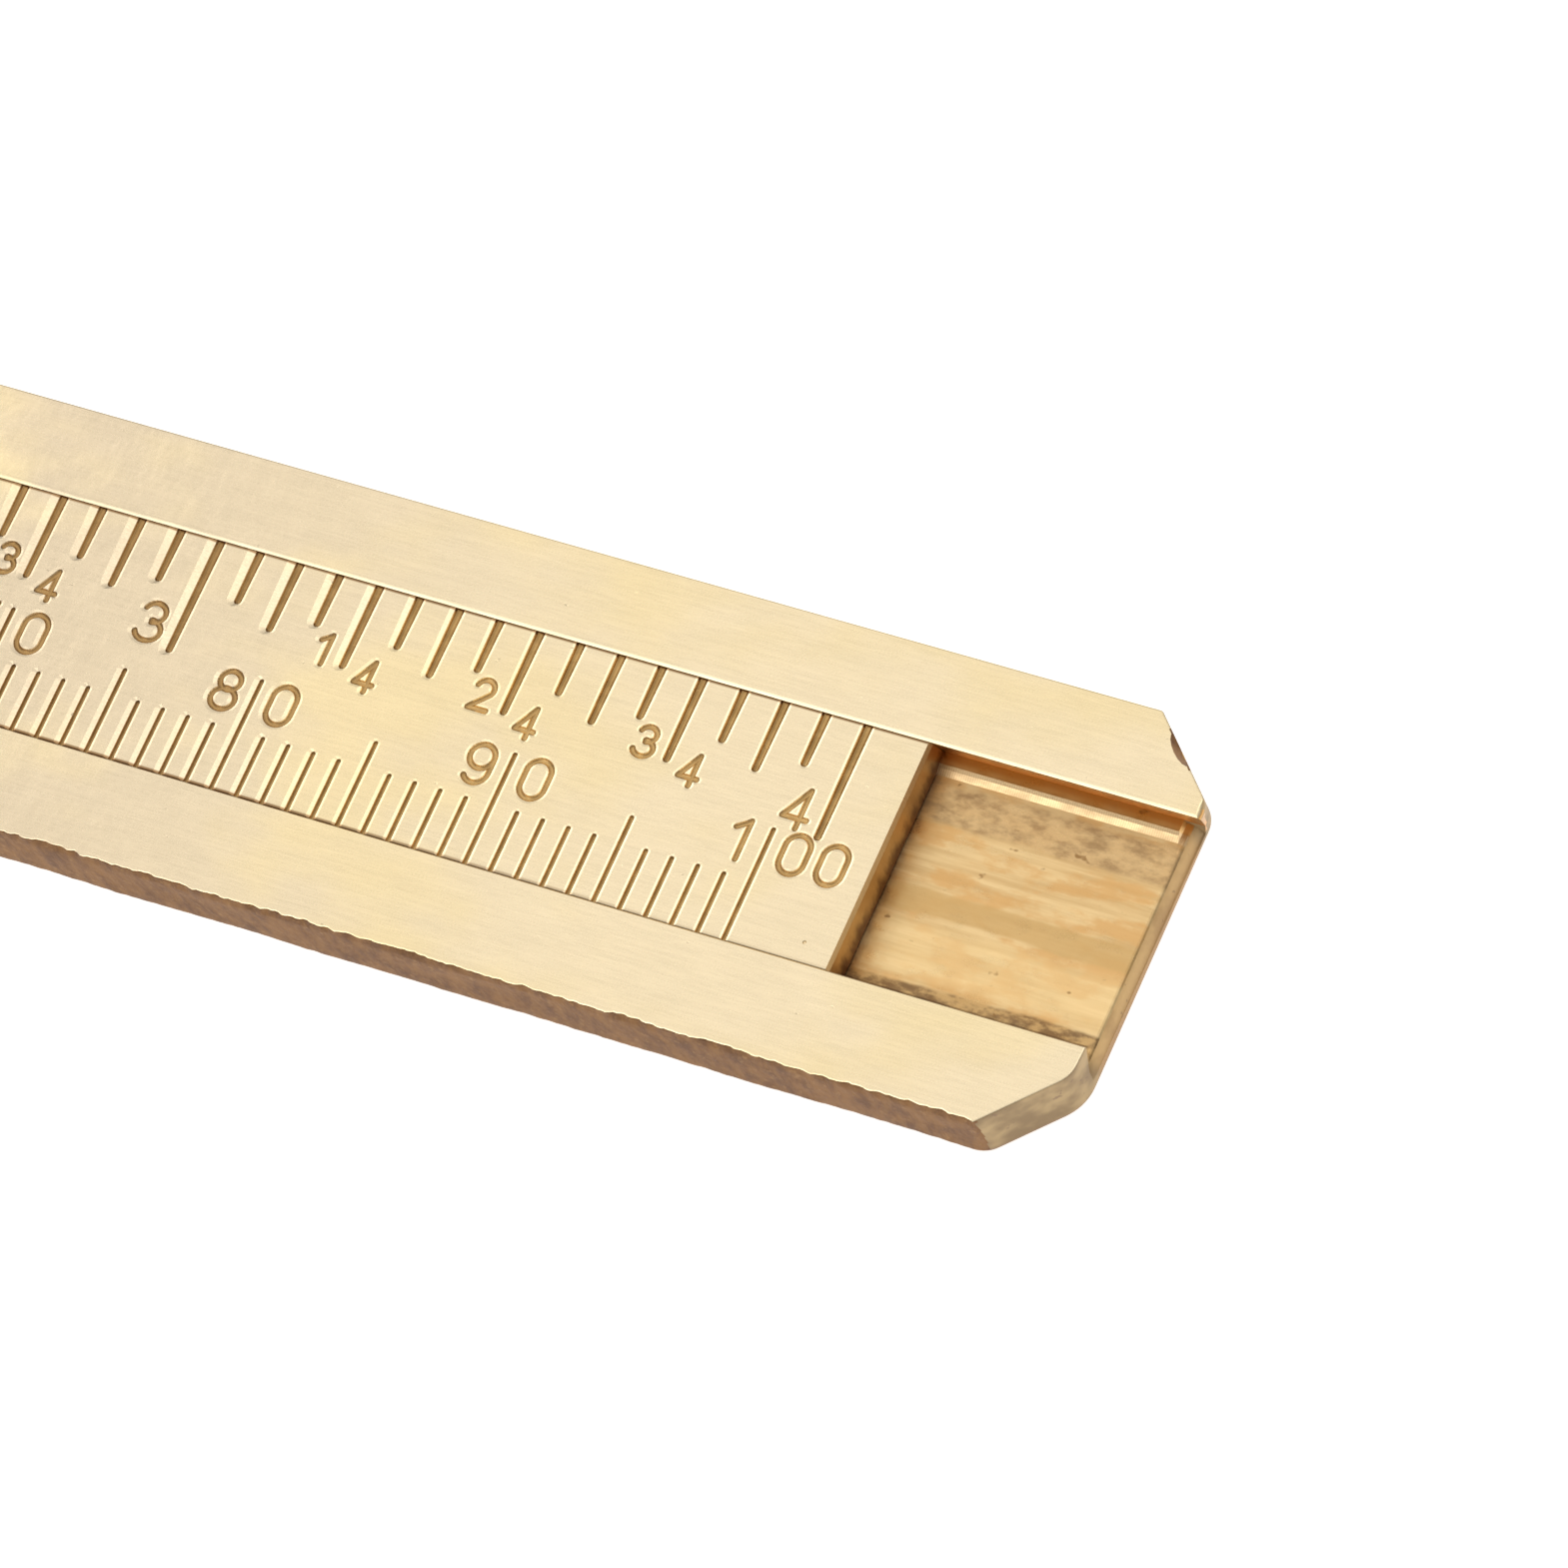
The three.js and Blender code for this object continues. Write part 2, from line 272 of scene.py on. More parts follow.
class Nodes:
    """A short way to write a material's node tree."""

    def __init__(self, name):
        self.material = bpy.data.materials.new(name)
        self.material.use_nodes = True
        self.tree = self.material.node_tree
        self.tree.nodes.clear()
        self.shader = self.add("ShaderNodeBsdfPrincipled")
        output = self.add("ShaderNodeOutputMaterial")
        self.link(self.shader.outputs["BSDF"], output.inputs["Surface"])
        place = self.add("ShaderNodeTexCoord")
        self.place = place.outputs["Object"]

    def add(self, kind, **settings):
        node = self.tree.nodes.new(kind)
        for key, value in settings.items():
            setattr(node, key, value)
        return node

    def link(self, start, end):
        self.tree.links.new(start, end)

    def fill(self, socket, value):
        if isinstance(value, bpy.types.NodeSocket):
            self.link(value, socket)
        else:
            socket.default_value = value

    def math(self, operation, first, second=0.0, clamp=False):
        node = self.add("ShaderNodeMath", operation=operation, use_clamp=clamp)
        self.fill(node.inputs[0], first)
        self.fill(node.inputs[1], second)
        return node.outputs[0]

    def ramp(self, value, low, high, to_low=0.0, to_high=1.0):
        node = self.add("ShaderNodeMapRange", clamp=True, interpolation_type="SMOOTHSTEP")
        for socket, number in zip(node.inputs[:5], (value, low, high, to_low, to_high)):
            self.fill(socket, number)
        return node.outputs[0]

    def stretched(self, per_mm):
        """The place in millimetres, times a number for each axis."""
        node = self.add("ShaderNodeVectorMath", operation="MULTIPLY")
        self.fill(node.inputs[0], self.place)
        node.inputs[1].default_value = [value / MM for value in per_mm]
        return node.outputs[0]

    def noise(self, per_mm, detail=3.0, roughness=0.55, distortion=0.0):
        node = self.add("ShaderNodeTexNoise")
        self.fill(node.inputs["Vector"], self.stretched(per_mm))
        node.inputs["Scale"].default_value = 1.0
        node.inputs["Detail"].default_value = detail
        node.inputs["Roughness"].default_value = roughness
        node.inputs["Distortion"].default_value = distortion
        return node.outputs["Fac"]

    def axis_mm(self, letter):
        node = self.add("ShaderNodeSeparateXYZ")
        self.fill(node.inputs[0], self.place)
        return self.math("DIVIDE", node.outputs[letter], MM)

    def mix(self, share, first, second, blend="MIX"):
        node = self.add("ShaderNodeMix", data_type="RGBA", blend_type=blend)
        self.fill(node.inputs[0], share)
        self.fill(node.inputs[6], first)
        self.fill(node.inputs[7], second)
        return node.outputs[2]

    def stain(self, colour, where, strength, stain):
        """The colour with a stain over it where a mask is one, at a strength."""
        return self.mix(self.math("MULTIPLY", where, strength), colour, stain)

    def band(self, value, low, high, soft):
        """One where the value lies between low and high, and nothing outside, with soft edges."""
        rise = self.ramp(value, low - soft, low + soft)
        fall = self.ramp(value, high - soft, high + soft, 1.0, 0.0)
        return self.math("MULTIPLY", rise, fall)

    def grey(self, value):
        node = self.add("ShaderNodeCombineColor")
        for socket in node.inputs[:3]:
            self.fill(socket, value)
        return node.outputs[0]

    def bump(self, height, distance_mm, strength=1.0, under=None):
        node = self.add("ShaderNodeBump")
        self.fill(node.inputs["Height"], height)
        node.inputs["Distance"].default_value = distance_mm * MM
        node.inputs["Strength"].default_value = strength
        if under is not None:
            self.link(under, node.inputs["Normal"])
        return node.outputs["Normal"]

    def shade(self, colour, roughness, normal=None, metallic=1.0):
        self.fill(self.shader.inputs["Base Color"], colour)
        self.fill(self.shader.inputs["Roughness"], roughness)
        self.fill(self.shader.inputs["Metallic"], metallic)
        if normal is not None:
            self.link(normal, self.shader.inputs["Normal"])
        return self.material


def srgb(red, green, blue):
    """A colour given as it looks on screen, 0 to 255."""
    def channel(value):
        share = value / 255
        return share / 12.92 if share <= 0.04045 else ((share + 0.055) / 1.055) ** 2.4
    return (channel(red), channel(green), channel(blue), 1.0)


PALE_BRASS = srgb(242, 222, 184)
WARM_BRASS = srgb(241, 219, 172)
GREY_BRASS = srgb(217, 198, 168)
GROOVE_BROWN = srgb(206, 167, 108)
DEEP_BROWN = srgb(174, 138, 86)
DARK_BROWN = srgb(136, 102, 64)
# the brown of the painted shade in the gaps beside the slide
GAP_SHADE_BROWN = srgb(142, 106, 68)


def brass_tone(nodes, brush, pits):
    """Greyer towards the jaws and paler towards the tail, with warm clouds and faint streaks."""
    cloud = nodes.noise((0.10, 0.16, 0.16), detail=3.0)
    patch = nodes.noise((0.35, 1.1, 1.1), detail=4.0)
    tone = nodes.mix(nodes.ramp(nodes.axis_mm("X"), 62.0, 98.0), GREY_BRASS, PALE_BRASS)
    tone = nodes.mix(nodes.ramp(cloud, 0.42, 0.66), tone, WARM_BRASS)
    streak = nodes.ramp(brush, 0.3, 0.7, 0.975, 1.015)
    mottle = nodes.ramp(patch, 0.3, 0.7, 0.98, 1.012)
    shade = nodes.math("MULTIPLY", streak, mottle)
    shade = nodes.math("SUBTRACT", shade, nodes.math("MULTIPLY", pits, 0.16))
    return nodes.mix(1.0, tone, nodes.grey(shade), "MULTIPLY")


def slide_edge_grime(nodes, colour):
    """Painted shade of the gaps along the slide's long edges, less of it on the lower one towards
    the tail.
    """
    across = nodes.axis_mm("Y")
    # painted shade: the slide's face is browned along its edges, so the dark gap lines by the rails
    # read wider
    upper = nodes.ramp(across, MOUTH_HIGH - 0.13, MOUTH_HIGH - 0.06, 0.0, 0.95)
    lower = nodes.ramp(across, MOUTH_LOW + 0.06, MOUTH_LOW + 0.15, 0.95, 0.0)
    share = nodes.ramp(nodes.axis_mm("X"), 80.0, 103.0, 1.0, 0.15)
    lower = nodes.math("MULTIPLY", lower, share)
    return nodes.mix(nodes.math("MAXIMUM", upper, lower), colour, GAP_SHADE_BROWN)


def groove_brown(nodes, colour):
    """The engraving's brown: it begins a little below the face, and is darker with depth, in
    patches of grime and towards the jaws."""
    height = nodes.axis_mm("Z")
    below = nodes.ramp(height, TOP - 0.09, TOP - 0.06, 1.0, 0.0)
    grime = nodes.noise((1.6, 1.6, 1.6), detail=3.0)
    deep = nodes.ramp(height, TOP - 0.13, TOP - 0.10, 0.8, 0.2)
    deep = nodes.math("ADD", deep, nodes.ramp(grime, 0.3, 0.7, -0.4, 0.4), clamp=True)
    brown = nodes.mix(deep, GROOVE_BROWN, DEEP_BROWN)
    brown = nodes.mix(nodes.ramp(nodes.axis_mm("X"), 76.0, 90.0, 0.5, 0.0), brown, DARK_BROWN)
    return nodes.mix(below, colour, brown)


def brushed_relief(nodes, brush, fine, pits):
    """Brushing and pits, on a face that is slightly uneven towards the jaws."""
    beaten = nodes.noise((0.9, 0.7, 0.7), detail=3.0)
    uneven = nodes.math("MULTIPLY", beaten, nodes.ramp(nodes.axis_mm("X"), 72.0, 88.0, 1.0, 0.1))
    normal = nodes.bump(brush, 0.0025, 0.5)
    normal = nodes.bump(fine, 0.0010, 0.4, under=normal)
    normal = nodes.bump(uneven, 0.03, 0.6, under=normal)
    return nodes.bump(nodes.math("SUBTRACT", 1.0, pits), 0.02, 0.5, under=normal)


def brushed_brass(name, is_slide=False):
    """The dressed faces: fine straight brushing along x, a few pits, and brown engraving."""
    nodes = Nodes(name)
    brush = nodes.noise((0.22, 14.0, 14.0), detail=4.0)
    fine = nodes.noise((0.9, 34.0, 34.0), detail=2.0)
    pits = nodes.ramp(nodes.noise((2.2, 3.0, 3.0), detail=2.0, roughness=0.5), 0.745, 0.80)
    colour = brass_tone(nodes, brush, pits)
    if is_slide:
        # painted shade in the gaps beside the slide's long edges
        colour = slide_edge_grime(nodes, colour)
    colour = groove_brown(nodes, colour)
    rough = nodes.ramp(fine, 0.3, 0.7, 0.24, 0.34)
    return nodes.shade(colour, rough, brushed_relief(nodes, brush, fine, pits))


def channel_floor(nodes, across, track, blotch):
    """Gold with soft cutter tracks and reddish clouds. From the upper lip down come a grey
    mottled band, a darker one in the middle, a bright one, and soot by the lower lip."""
    gold = nodes.mix(nodes.ramp(track, 0.32, 0.68), srgb(208, 172, 118), srgb(232, 200, 146))
    rust = nodes.noise((0.5, 1.2, 1.2), detail=4.0, roughness=0.6)
    gold = nodes.mix(nodes.ramp(rust, 0.44, 0.62, 0.0, 0.75), gold, srgb(214, 166, 104))
    grey = nodes.mix(nodes.ramp(blotch, 0.35, 0.7), srgb(214, 178, 126), srgb(158, 126, 88))
    soot = nodes.mix(nodes.ramp(blotch, 0.4, 0.62), srgb(196, 158, 104), srgb(112, 82, 54))
    colour = nodes.stain(gold, nodes.band(across, 2.55, 3.95, 0.14), 0.85, grey)
    colour = nodes.stain(colour, nodes.band(across, -0.85, 0.1, 0.10), 0.8, srgb(204, 166, 108))
    colour = nodes.stain(colour, nodes.band(across, -3.1, -1.2, 0.3), 0.35, srgb(250, 218, 158))
    return nodes.stain(colour, nodes.band(across, -4.2, -3.36, 0.08), 0.85, soot)


def channel_sides(nodes, colour, straight):
    """Painted shade under the upper lip: the cutter's track behind the ramp darkens towards the
    wall, and the dovetail walls get a shaded golden brown.
    """
    ramp_top = RAMP[-1][0]
    # painted shade: the track darkens further in under the upper lip
    shade = nodes.ramp(straight, ramp_top + 0.1, ramp_top + 0.32)
    track = nodes.mix(shade, srgb(240, 194, 128), srgb(226, 172, 104))
    behind = nodes.ramp(straight, ramp_top - 0.05, ramp_top + 0.1)
    colour = nodes.mix(behind, colour, track)
    # painted shade on the dovetail walls, browner higher up under the lips
    wall_shade = nodes.ramp(nodes.axis_mm("Z"), FLOOR + 0.3, FLOOR + 0.8)
    return nodes.mix(wall_shade, colour, srgb(206, 158, 98))


def channel_brass():
    """The milled channel, with dark specks, and feed marks on the ramp under the upper lip."""
    nodes = Nodes("channel_brass")
    straight = nodes.axis_mm("Y")
    waver = nodes.math("SUBTRACT", nodes.noise((0.35, 0.5, 0.5), detail=3.0), 0.5)
    across = nodes.math("ADD", straight, nodes.math("MULTIPLY", waver, 0.5))
    track = nodes.noise((0.14, 2.6, 2.6), detail=5.0, roughness=0.62)
    blotch = nodes.noise((1.1, 2.2, 2.2), detail=5.0, roughness=0.65)
    colour = channel_floor(nodes, across, track, blotch)
    # painted shade under the upper lip, on the track and the walls
    colour = channel_sides(nodes, colour, straight)
    speck = nodes.ramp(nodes.noise((1.5, 2.0, 2.0), detail=2.0), 0.68, 0.76)
    colour = nodes.stain(colour, speck, 0.75, srgb(138, 100, 58))
    on_ramp = nodes.band(straight, RAMP[1][0], RAMP[-1][0], 0.04)
    turns = nodes.math("MULTIPLY", nodes.axis_mm("X"), 2 * math.pi / FEED_PITCH)
    marks = nodes.math("MULTIPLY", on_ramp, nodes.math("SINE", turns))
    colour = nodes.stain(colour, on_ramp, 0.8, srgb(240, 208, 160))
    colour = nodes.mix(nodes.ramp(marks, 0.2, 0.9, 0.0, 0.45), colour, srgb(196, 158, 108))
    rough = nodes.ramp(blotch, 0.3, 0.7, 0.26, 0.42)
    normal = nodes.bump(track, 0.008, 0.5)
    normal = nodes.bump(blotch, 0.010, 0.4, under=normal)
    normal = nodes.bump(marks, 0.0015, 0.6, under=normal)
    return nodes.shade(colour, rough, normal)


def sawn_brass():
    """The rough lower edge: dark brown, torn across by the saw."""
    nodes = Nodes("sawn_brass")
    tear = nodes.noise((1.8, 1.4, 0.9), detail=6.0, roughness=0.7)
    fleck = nodes.noise((4.5, 4.0, 4.0), detail=4.0)
    colour = nodes.mix(nodes.ramp(tear, 0.35, 0.7), srgb(150, 106, 58), srgb(114, 76, 42))
    colour = nodes.mix(nodes.ramp(fleck, 0.55, 0.75, 0.0, 0.5), colour, srgb(180, 138, 86))
    normal = nodes.bump(tear, 0.08, 0.7)
    normal = nodes.bump(fleck, 0.04, 0.6, under=normal)
    return nodes.shade(colour, 0.62, normal, metallic=0.35)


def filed_brass():
    """The end face and its chamfers: matt, with soft file marks, stains and small pits. Under the
    channel they are golden, as its floor is, and painted shade browns them along the back's arris,
    low down by the floor."""
    nodes = Nodes("filed_brass")
    haze = nodes.noise((0.6, 0.6, 0.8), detail=3.0)
    marks = nodes.noise((3.0, 3.0, 0.8), detail=4.0)
    grey = nodes.mix(nodes.ramp(haze, 0.35, 0.65), srgb(192, 162, 114), srgb(150, 122, 82))
    eased = nodes.ramp(nodes.axis_mm("Z"), FLOOR - 0.6, FLOOR - 0.15)
    gold = nodes.mix(eased, srgb(184, 142, 88), srgb(228, 188, 128))
    gold = nodes.mix(nodes.ramp(haze, 0.45, 0.65, 0.0, 0.5), gold, srgb(176, 136, 90))
    under = nodes.band(nodes.axis_mm("Y"), MOUTH_LOW + 0.1, MOUTH_HIGH, 0.4)
    colour = nodes.mix(under, grey, gold)
    pits = nodes.ramp(nodes.noise((2.6, 2.6, 2.6), detail=2.0), 0.66, 0.74)
    colour = nodes.stain(colour, pits, 0.6, srgb(132, 100, 74))
    # painted shade: brown along the back's arris, low down by the floor
    arris = nodes.ramp(nodes.axis_mm("Z"), 0.15, 0.40, 0.8, 0.0)
    colour = nodes.mix(arris, colour, srgb(142, 108, 74))
    normal = nodes.bump(marks, 0.02, 0.5)
    return nodes.shade(colour, 0.55, normal, metallic=0.2)


def turned_metal(name, bright, dark, roughness):
    """A small turned or rolled piece: bright metal with a little tarnish and fine marks."""
    nodes = Nodes(name)
    tarnish = nodes.noise((1.4, 1.4, 1.4), detail=4.0)
    marks = nodes.noise((9.0, 9.0, 30.0), detail=3.0)
    colour = nodes.mix(nodes.ramp(tarnish, 0.4, 0.7), bright, dark)
    normal = nodes.bump(marks, 0.006, 0.5)
    return nodes.shade(colour, nodes.ramp(marks, 0.3, 0.7, roughness, roughness + 0.12), normal)


def slide_end_brass():
    """The slide's tail end: bare brown metal, with painted shade that darkens it down towards the
    floor along a ragged line.
    """
    nodes = Nodes("slide_end_brass")
    ragged = nodes.noise((1.2, 1.6, 0.6), detail=4.0)
    height = nodes.math("ADD", nodes.axis_mm("Z"), nodes.ramp(ragged, 0.25, 0.75, -0.25, 0.25))
    # painted shade: darker down towards the channel floor, with a ragged edge
    low = nodes.ramp(height, FLOOR + 0.15, FLOOR + 0.95, 1.0, 0.0)
    colour = nodes.mix(low, srgb(216, 178, 122), srgb(112, 72, 36))
    marks = nodes.noise((3.0, 5.0, 2.0), detail=3.0)
    normal = nodes.bump(marks, 0.01, 0.5)
    return nodes.shade(colour, 0.4, normal)


SLIDE_END = slide_end_brass()
RAIL = brushed_brass("rail_brass")
SCALE = brushed_brass("scale_brass", is_slide=True)
CHANNEL = channel_brass()
SAWN = sawn_brass()
FILED = filed_brass()
RIVET = turned_metal("rivet_brass", srgb(238, 214, 160), srgb(206, 172, 112), 0.26)
BRONZE = turned_metal("spring_bronze", srgb(214, 160, 110), srgb(160, 108, 66), 0.28)
STEEL = turned_metal("pin_steel", srgb(206, 208, 212), srgb(150, 152, 156), 0.24)


# ---- engraving ----

SHOULDER = 0.08
SHOULDER_SLOPE = 0.2
LINE_REACH = 1.25
FIGURE_REACH = 0.6
CLEAR = 0.004
STROKE = 0.115
END_STEPS = 6


def shoulder_width(x, out, reach):
    """How wide the burnished shoulder of a stroke is on the side towards out. On the part of the
    scale near the jaws it is widest on the side that looks to them."""
    return SHOULDER + reach * (1 - smooth_step(x, 78, 92)) * max(0.0, -out.x)


def stroke_levels(radius, width, depth):
    """(distance from the stroke's line, z) from the bottom of a groove up past the face."""
    return [
        (0.3 * radius, TOP - depth),
        (0.7 * radius, TOP - 0.8 * depth),
        (radius, TOP - SHOULDER_SLOPE * width),
        (radius + width + CLEAR / SHOULDER_SLOPE, TOP + CLEAR),
    ]


def path_frames(path, closed):
    """The left-hand direction at each point of a path."""
    lefts = []
    for i, here in enumerate(path):
        before = path[i - 1] if closed or i > 0 else here
        after = path[(i + 1) % len(path)] if closed or i < len(path) - 1 else here
        along = (after - before).normalized()
        lefts.append(Vector((-along.y, along.x)))
    return lefts


def half_turn(start):
    """Directions of a half circle that turns anticlockwise from start, its ends left out."""
    angles = [math.pi * step / END_STEPS for step in range(1, END_STEPS)]
    return [Matrix.Rotation(angle, 2) @ start for angle in angles]


def open_groove(path, start_radius, end_radius, depth, reach=LINE_REACH):
    """A cutter along an open path with round ends."""
    path = [Vector(point) for point in path]
    lefts = path_frames(path, closed=False)
    grow = (end_radius - start_radius) / (len(path) - 1)
    radii = [start_radius + grow * i for i in range(len(path))]
    places = list(zip(path, lefts, radii))
    around = [(point, -left, radius) for point, left, radius in places]
    around += [(path[-1], out, end_radius) for out in half_turn(-lefts[-1])]
    around += [(point, left, radius) for point, left, radius in reversed(places)]
    around += [(path[0], out, start_radius) for out in half_turn(lefts[0])]
    columns = []
    for point, out, radius in around:
        width = shoulder_width(point.x, out, reach * radius)
        columns.append([(*(point + out * d), z) for d, z in stroke_levels(radius, width, depth)])
    return loft([list(ring) for ring in zip(*columns)])


def closed_groove(path, radius, depth, reach):
    """A cutter along a closed path, as a ring of V-shaped section."""
    path = [Vector(point) for point in path]
    verts = []
    for point, left in zip(path, path_frames(path, closed=True)):
        right_width = shoulder_width(point.x, -left, reach * radius)
        left_width = shoulder_width(point.x, left, reach * radius)
        sides = [(-d, z) for d, z in stroke_levels(radius, right_width, depth)]
        sides += [(d, z) for d, z in reversed(stroke_levels(radius, left_width, depth))]
        verts += [(*(point + left * offset), z) for offset, z in sides]
    count, turns = len(verts) // len(path), len(path)
    faces = []
    for i in range(turns):
        here, after = i * count, ((i + 1) % turns) * count
        for k in range(count):
            m = (k + 1) % count
            faces.append((here + k, after + k, after + m, here + m))
    return verts, faces


# ---- numerals: single strokes in a cell GLYPH_WIDTH wide and 1 high ----

GLYPH_WIDTH = 0.62
R = GLYPH_WIDTH / 2


def arc(x, y, across, up, start, end, steps=14):
    points = []
    for step in range(steps + 1):
        angle = math.radians(start + (end - start) * step / steps)
        points.append((x + across * math.cos(angle), y + up * math.sin(angle)))
    return points


def loop(x, y, across, up):
    return arc(x, y, across, up, 0, 345, steps=23)


def stadium():
    return arc(R, 1 - R, R, R, 0, 180) + arc(R, R, R, R, 180, 360)


def spin(points):
    """The path turned half round in its cell, as a 6 becomes a 9."""
    return [(GLYPH_WIDTH - x, 1 - y) for x, y in points]


# Each stroke is (closed, path). Strokes of one numeral may touch, so each is a cut of its own.
SIX_TAIL = [(0, R)] + arc(R, 1 - R, R, R, 180, 35)
GLYPHS = {
    "0": [(True, stadium())],
    "1": [(False, [(0.47, 0), (0.47, 1)]), (False, [(0.46, 0.98), (0.17, 0.78)])],
    "2": [
        (False, arc(R, 0.71, 0.29, 0.29, 165, -32) + [(0.03, 0.04)]),
        (False, [(0.0, 0), (GLYPH_WIDTH, 0)]),
    ],
    "3": [
        (False, arc(0.30, 0.745, 0.28, 0.255, 160, -88)),
        (False, arc(R, 0.275, 0.33, 0.275, 92, -160)),
    ],
    "4": [
        (False, [(0.44, 1), (0, 0.25)]),
        (False, [(0, 0.25), (GLYPH_WIDTH, 0.25)]),
        (False, [(0.44, 1), (0.44, 0)]),
    ],
    "5": [
        (False, [(0.55, 1), (0.09, 1)]),
        (False, [(0.09, 1), (0.05, 0.55)]),
        (False, arc(0.29, 0.32, 0.32, 0.32, 132, -150)),
    ],
    "6": [(True, loop(R, R, R, R)), (False, SIX_TAIL)],
    "7": [(False, [(0, 1), (GLYPH_WIDTH, 1)]), (False, [(0.60, 0.97), (0.20, 0)])],
    "8": [(True, loop(R, 0.755, 0.26, 0.245)), (True, loop(R, 0.275, R, 0.275))],
    "9": [(True, spin(loop(R, R, R, R))[::-1]), (False, spin(SIX_TAIL))],
}


def numeral(digit, x, low, high, radius, depth):
    """The cuts of one numeral whose outer left edge is at x, between low and high."""
    scale = high - low - 2 * radius
    cuts = []
    for closed, path in GLYPHS[digit]:
        placed = [(x + radius + px * scale, low + radius + py * scale) for px, py in path]
        if closed:
            cuts.append(closed_groove(placed, radius, depth, FIGURE_REACH))
        else:
            cuts.append(open_groove(placed, radius, radius, depth, FIGURE_REACH))
    return cuts


def numeral_width(low, high, radius):
    return GLYPH_WIDTH * (high - low - 2 * radius) + 2 * radius


# ---- the scales ----

MM_LINE = {"radius": 0.094, "depth": 0.13}
MM_LENGTHS = {10: 4.45, 5: 3.43, 1: 2.41}
MM_NUMERALS = (-1.52, 0.20)
NUMERAL_PITCH = 1.44
INCH_PARTS = 16
INCH_LINE = {"edge_radius": 0.19, "end_radius": 0.15, "depth": 0.16}
INCH_LENGTHS = {16: 4.6, 4: 3.38, 2: 2.82, 1: 2.14}
INCH_NUMERALS = (0.15, 1.86)
UPPER_FIGURE = (1.13, 2.50)
LOWER_FIGURE = (0.57, 1.96)
FIGURE_GAP = 0.52
NUMERAL_DEPTH = 0.11


def mm_lines():
    lines = []
    for reading in range(0, 101):
        step = next(s for s in MM_LENGTHS if reading % s == 0)
        end = MOUTH_LOW + MM_LENGTHS[step] - MM_LINE["radius"]
        path = [(reading, MOUTH_LOW - UNDERCUT), (reading, end)]
        lines.append(open_groove(path, MM_LINE["radius"], MM_LINE["radius"], MM_LINE["depth"]))
    return lines


def inch_lines():
    lines = []
    for part in range(0, 4 * INCH_PARTS + 1):
        step = next(s for s in INCH_LENGTHS if part % s == 0)
        x = part * INCH / INCH_PARTS
        end = MOUTH_HIGH - INCH_LENGTHS[step] + INCH_LINE["end_radius"]
        path = [(x, MOUTH_HIGH + UNDERCUT), (x, end)]
        lines.append(
            open_groove(path, INCH_LINE["edge_radius"], INCH_LINE["end_radius"], INCH_LINE["depth"])
        )
    return lines


def mm_numerals():
    """Each ten is written astride its line: the first figure to its left, the rest to its right."""
    cuts = []
    for reading in range(10, 101, 10):
        first, *rest = str(reading)
        width = numeral_width(*MM_NUMERALS, STROKE)
        left = reading - FIGURE_GAP - width
        cuts.append(numeral(first, left, *MM_NUMERALS, STROKE, NUMERAL_DEPTH))
        for place, digit in enumerate(rest):
            x = reading + FIGURE_GAP + place * NUMERAL_PITCH
            cuts.append(numeral(digit, x, *MM_NUMERALS, STROKE, NUMERAL_DEPTH))
    return cuts


def inch_numerals():
    """Whole inches stand left of their line; quarters are a fraction split by their line."""
    cuts = []
    for inch in range(1, 5):
        x = inch * INCH - FIGURE_GAP - numeral_width(*INCH_NUMERALS, STROKE)
        cuts.append(numeral(str(inch), x, *INCH_NUMERALS, STROKE, NUMERAL_DEPTH))
    for quarter in range(1, 16):
        if quarter % 4 == 0:
            continue
        line = quarter * INCH / 4
        x = line - FIGURE_GAP - numeral_width(*UPPER_FIGURE, STROKE)
        cuts.append(numeral(str(quarter % 4), x, *UPPER_FIGURE, STROKE, NUMERAL_DEPTH))
        cuts.append(numeral("4", line + FIGURE_GAP, *LOWER_FIGURE, STROKE, NUMERAL_DEPTH))
    return cuts


def passes_of(lines, numerals):
    """The lines in one pass, then the numerals' first strokes, their second and their third."""
    most = max(len(strokes) for strokes in numerals)
    return [lines] + [
        [strokes[number] for strokes in numerals if number < len(strokes)] for number in range(most)
    ]


# ---- the body ----

EDGE_PITCH = 0.14
BACK_ROUND = 0.32
FACE_ROUND = 0.07
WORN_ROUND = 0.2
SAWN_WANDER = 0.05
SQUARE_CORNER = 0.15
UPPER_END_LEAN = 0.5
BACK_END_SHORT = 0.05
BACK_CORNERS = (1.1, 2.0, 1.2, 0.4)
FACE_CORNERS = (0.12, 1.2, 0.9, 0.2)
BODY_LEVELS = [0.0, 0.05, 0.12, 0.2, 0.32, 0.8, 1.3, 1.8, 2.1, 2.28]
BODY_LEVELS += [TOP - drop for drop in (0.24, 0.17, 0.11, 0.07, 0.045, 0.025, 0.01, 0.0)]

# The worn lips of the channel, as (how far out from its mouth, how far below the face).
LIP_WIDTH = 0.2
LIP_DROP = 0.045
UPPER_LIP = [(0.015, 0.07)]
UPPER_LIP += [(0.02 + LIP_WIDTH * t, LIP_DROP * (1 - t) ** 2) for t in (0.0, 0.25, 0.5, 0.75, 1.0)]
UPPER_LIP += [(0.04 + LIP_WIDTH, -0.05)]
LOWER_LIP = [(0.06, -0.05), (0.04, 0.0), (0.0, 0.03), (0.0, 0.05)]

# The cutters' steps in the channel's floor, as (y, how far below it).
LOWER_TRACK = 0.1
FLOOR_STEPS = [(-3.75, 0.0), (-3.35, 0.0), (-3.12, 0.014), (-2.9, 0.0), (-0.95, 0.0)]
FLOOR_STEPS += [(-0.7, 0.01), (0.0, 0.01), (0.25, 0.0), (2.3, 0.0), (2.6, 0.012)]

